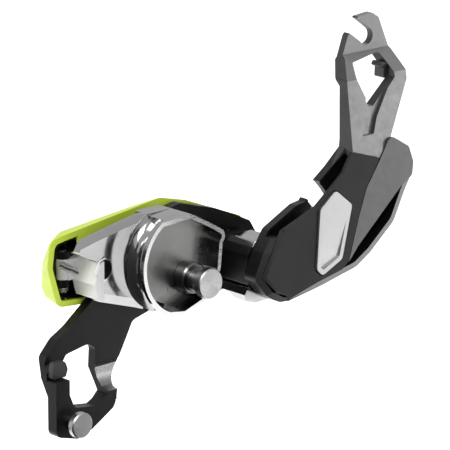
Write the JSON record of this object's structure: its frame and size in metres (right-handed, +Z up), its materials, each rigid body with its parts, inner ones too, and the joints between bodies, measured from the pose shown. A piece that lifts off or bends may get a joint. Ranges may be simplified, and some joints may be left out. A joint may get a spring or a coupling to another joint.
{
  "type": "rope descender",
  "caption": "Handheld assisted-braking rope descender with a polished cam, a folding release handle and a front plate that swings open on a pivot post.",
  "frame": {"origin": "centre of the harness-loop eye in the back plate's arm, on the plate's front face", "axes": "+X towards the swung-open front plate, +Y into the back plate away from the rope side, +Z up as it hangs in the picture"},
  "size_m": [0.1688, 0.0474, 0.1431],
  "materials": {
    "black_anodised": "satin black anodised aluminium",
    "gray_anodised": "satin dark gray anodised aluminium",
    "polished_steel": "polished stainless steel",
    "satin_steel": "satin turned stainless steel",
    "spring_steel": "spring wire",
    "lime_plastic": "moulded, satin",
    "black_plastic": "moulded, satin",
    "bronze": "sintered, plain"
  },
  "bodies": {
    "back": {"back_plate": "black_anodised", "loop_keeper_back": "black_plastic", "arm_pin": "satin_steel", "cam_axle": "satin_steel", "axle_collar": "polished_steel", "axle_head": "satin_steel", "cam_stop_pin": "satin_steel", "pivot_post": "black_anodised", "brake_shoe": "polished_steel", "shoe_wedge": "polished_steel", "pivot_shaft": "satin_steel", "pivot_washer": "satin_steel", "post_screws": "satin_steel"},
    "cam_body": {"cam": "polished_steel", "cam_bush": "bronze", "cam_spring": "spring_steel", "lever_bracket": "polished_steel", "bracket_rivets": "satin_steel", "hinge_pin": "satin_steel", "spring_leg": "spring_steel"},
    "handle": {"handle_shell": "lime_plastic", "handle_core": "satin_steel", "handle_screws": "satin_steel", "handle_spring": "spring_steel"},
    "front": {"front_plate": "gray_anodised", "front_cover": "gray_anodised", "front_bush": "bronze", "cover_screws": "satin_steel", "loop_keeper_front": "black_plastic", "button_spring": "spring_steel"},
    "button": {"lock_button": "satin_steel", "latch_plate": "satin_steel", "button_rivets": "satin_steel"}
  },
  "joints": [
    {"name": "front_plate_swing", "type": "hinge", "parent": "back", "child": "front", "pos_m": [0.0775, 0, 0.0342], "axis": [0, 1, 0], "range_deg": [-158, 0]},
    {"name": "cam_turn", "type": "hinge", "parent": "back", "child": "cam_body", "pos_m": [0.044, 0, 0.033], "axis": [0, 1, 0], "range_deg": [0, 22], "stiffness_Nm_per_rad": 0.3},
    {"name": "handle_fold", "type": "hinge", "parent": "cam_body", "child": "handle", "pos_m": [0.0006, 0.008, 0.04], "axis": [0, 0, 1], "range_deg": [0, 80], "stiffness_Nm_per_rad": 0.03},
    {"name": "button_press", "type": "slide", "parent": "front", "child": "button", "axis": [0, -1, 0], "range_m": [0, 0.0025]}
  ]
}
